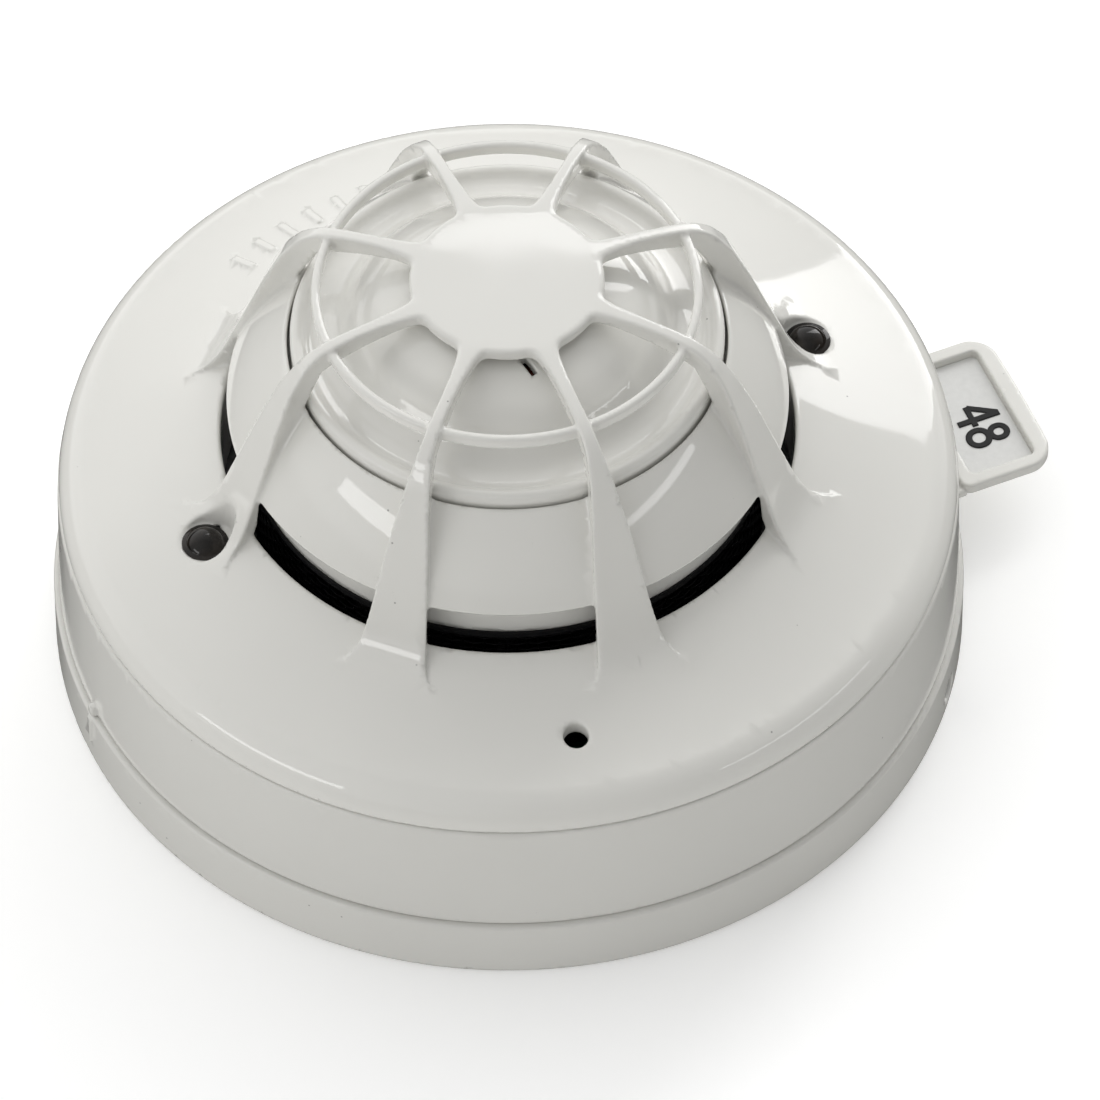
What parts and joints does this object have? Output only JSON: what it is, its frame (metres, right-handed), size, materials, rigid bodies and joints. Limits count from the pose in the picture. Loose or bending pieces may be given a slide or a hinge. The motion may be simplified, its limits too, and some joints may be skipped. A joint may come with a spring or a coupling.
{
  "type": "heat detector",
  "caption": "Round ceiling fire detector with a ribbed thermistor guard over a smoke slot, on a twist-lock mounting base with a slide-in address card.",
  "frame": {"origin": "centre of the mounting base's rear face, in the mouth of the cable entry", "axes": "+Z away from the ceiling towards the guard; the address card points along azimuth 22.5 degrees from +X towards +Y; the fixing slots lie along Y"},
  "size_m": [0.1101, 0.1, 0.0575],
  "materials": {
    "cover_plastic": "polished moulded polycarbonate, warm white",
    "white_plastic": "moulded polycarbonate, warm white, satin gloss",
    "cap_plastic": "polished moulded polycarbonate, warm white",
    "card_plastic": "moulded plastic, fine satin",
    "label_film": "printed film, light grey",
    "digit_ink": "black print",
    "spring_steel": "stainless strip, rolled",
    "plated_brass": "bright stamped brass",
    "zinc_steel": "zinc plated",
    "tinned_steel": "tin plated",
    "seal_rubber": "moulded rubber",
    "board_laminate": "green solder mask over glass laminate",
    "black_epoxy": "moulded epoxy",
    "capacitor_sleeve": "shrunk sleeve",
    "component_body": "fired ceramic with plated ends",
    "led_body": "clear epoxy",
    "smoked_lens": "polished smoked polycarbonate",
    "led_lens": "tinted epoxy",
    "black_chamber": "fine textured black moulding",
    "mesh_wire": "blackened woven wire",
    "thermistor_glass": "glazed bead",
    "wire_copper": "enamelled wire"
  },
  "bodies": {
    "base": {"mounting_base": "white_plastic", "base_contacts": "spring_steel", "terminal_clamps": "plated_brass", "terminal_screws": "zinc_steel", "locking_screw": "zinc_steel"},
    "card": {"address_card": "card_plastic", "card_label": "label_film", "address_number": "digit_ink"},
    "head": {"detector_case": "white_plastic", "detector_contacts": "spring_steel", "contact_rivets": "plated_brass", "case_screws": "zinc_steel", "cover_seal": "seal_rubber", "circuit_board": "board_laminate", "board_screws": "zinc_steel", "microcontroller": "black_epoxy", "capacitors": "capacitor_sleeve", "small_components": "component_body", "screening_can": "tinned_steel", "indicator_leds": "led_body", "light_pipes": "smoked_lens", "chamber_base": "black_chamber", "ir_led": "led_lens", "photodiode": "black_epoxy", "labyrinth": "black_chamber", "insect_mesh": "mesh_wire", "chamber_cap": "cap_plastic", "thermistor": "thermistor_glass", "thermistor_leads": "wire_copper", "top_cover": "cover_plastic"}
  },
  "joints": [
    {"name": "head_twist", "type": "hinge", "parent": "base", "child": "head", "pos_m": [0, 0, 0.0105], "axis": [0, 0, 1], "range_deg": [0, 20]},
    {"name": "card_slide", "type": "slide", "parent": "base", "child": "card", "axis": [0.9239, 0.3827, 0], "range_m": [0, 0.022]}
  ]
}
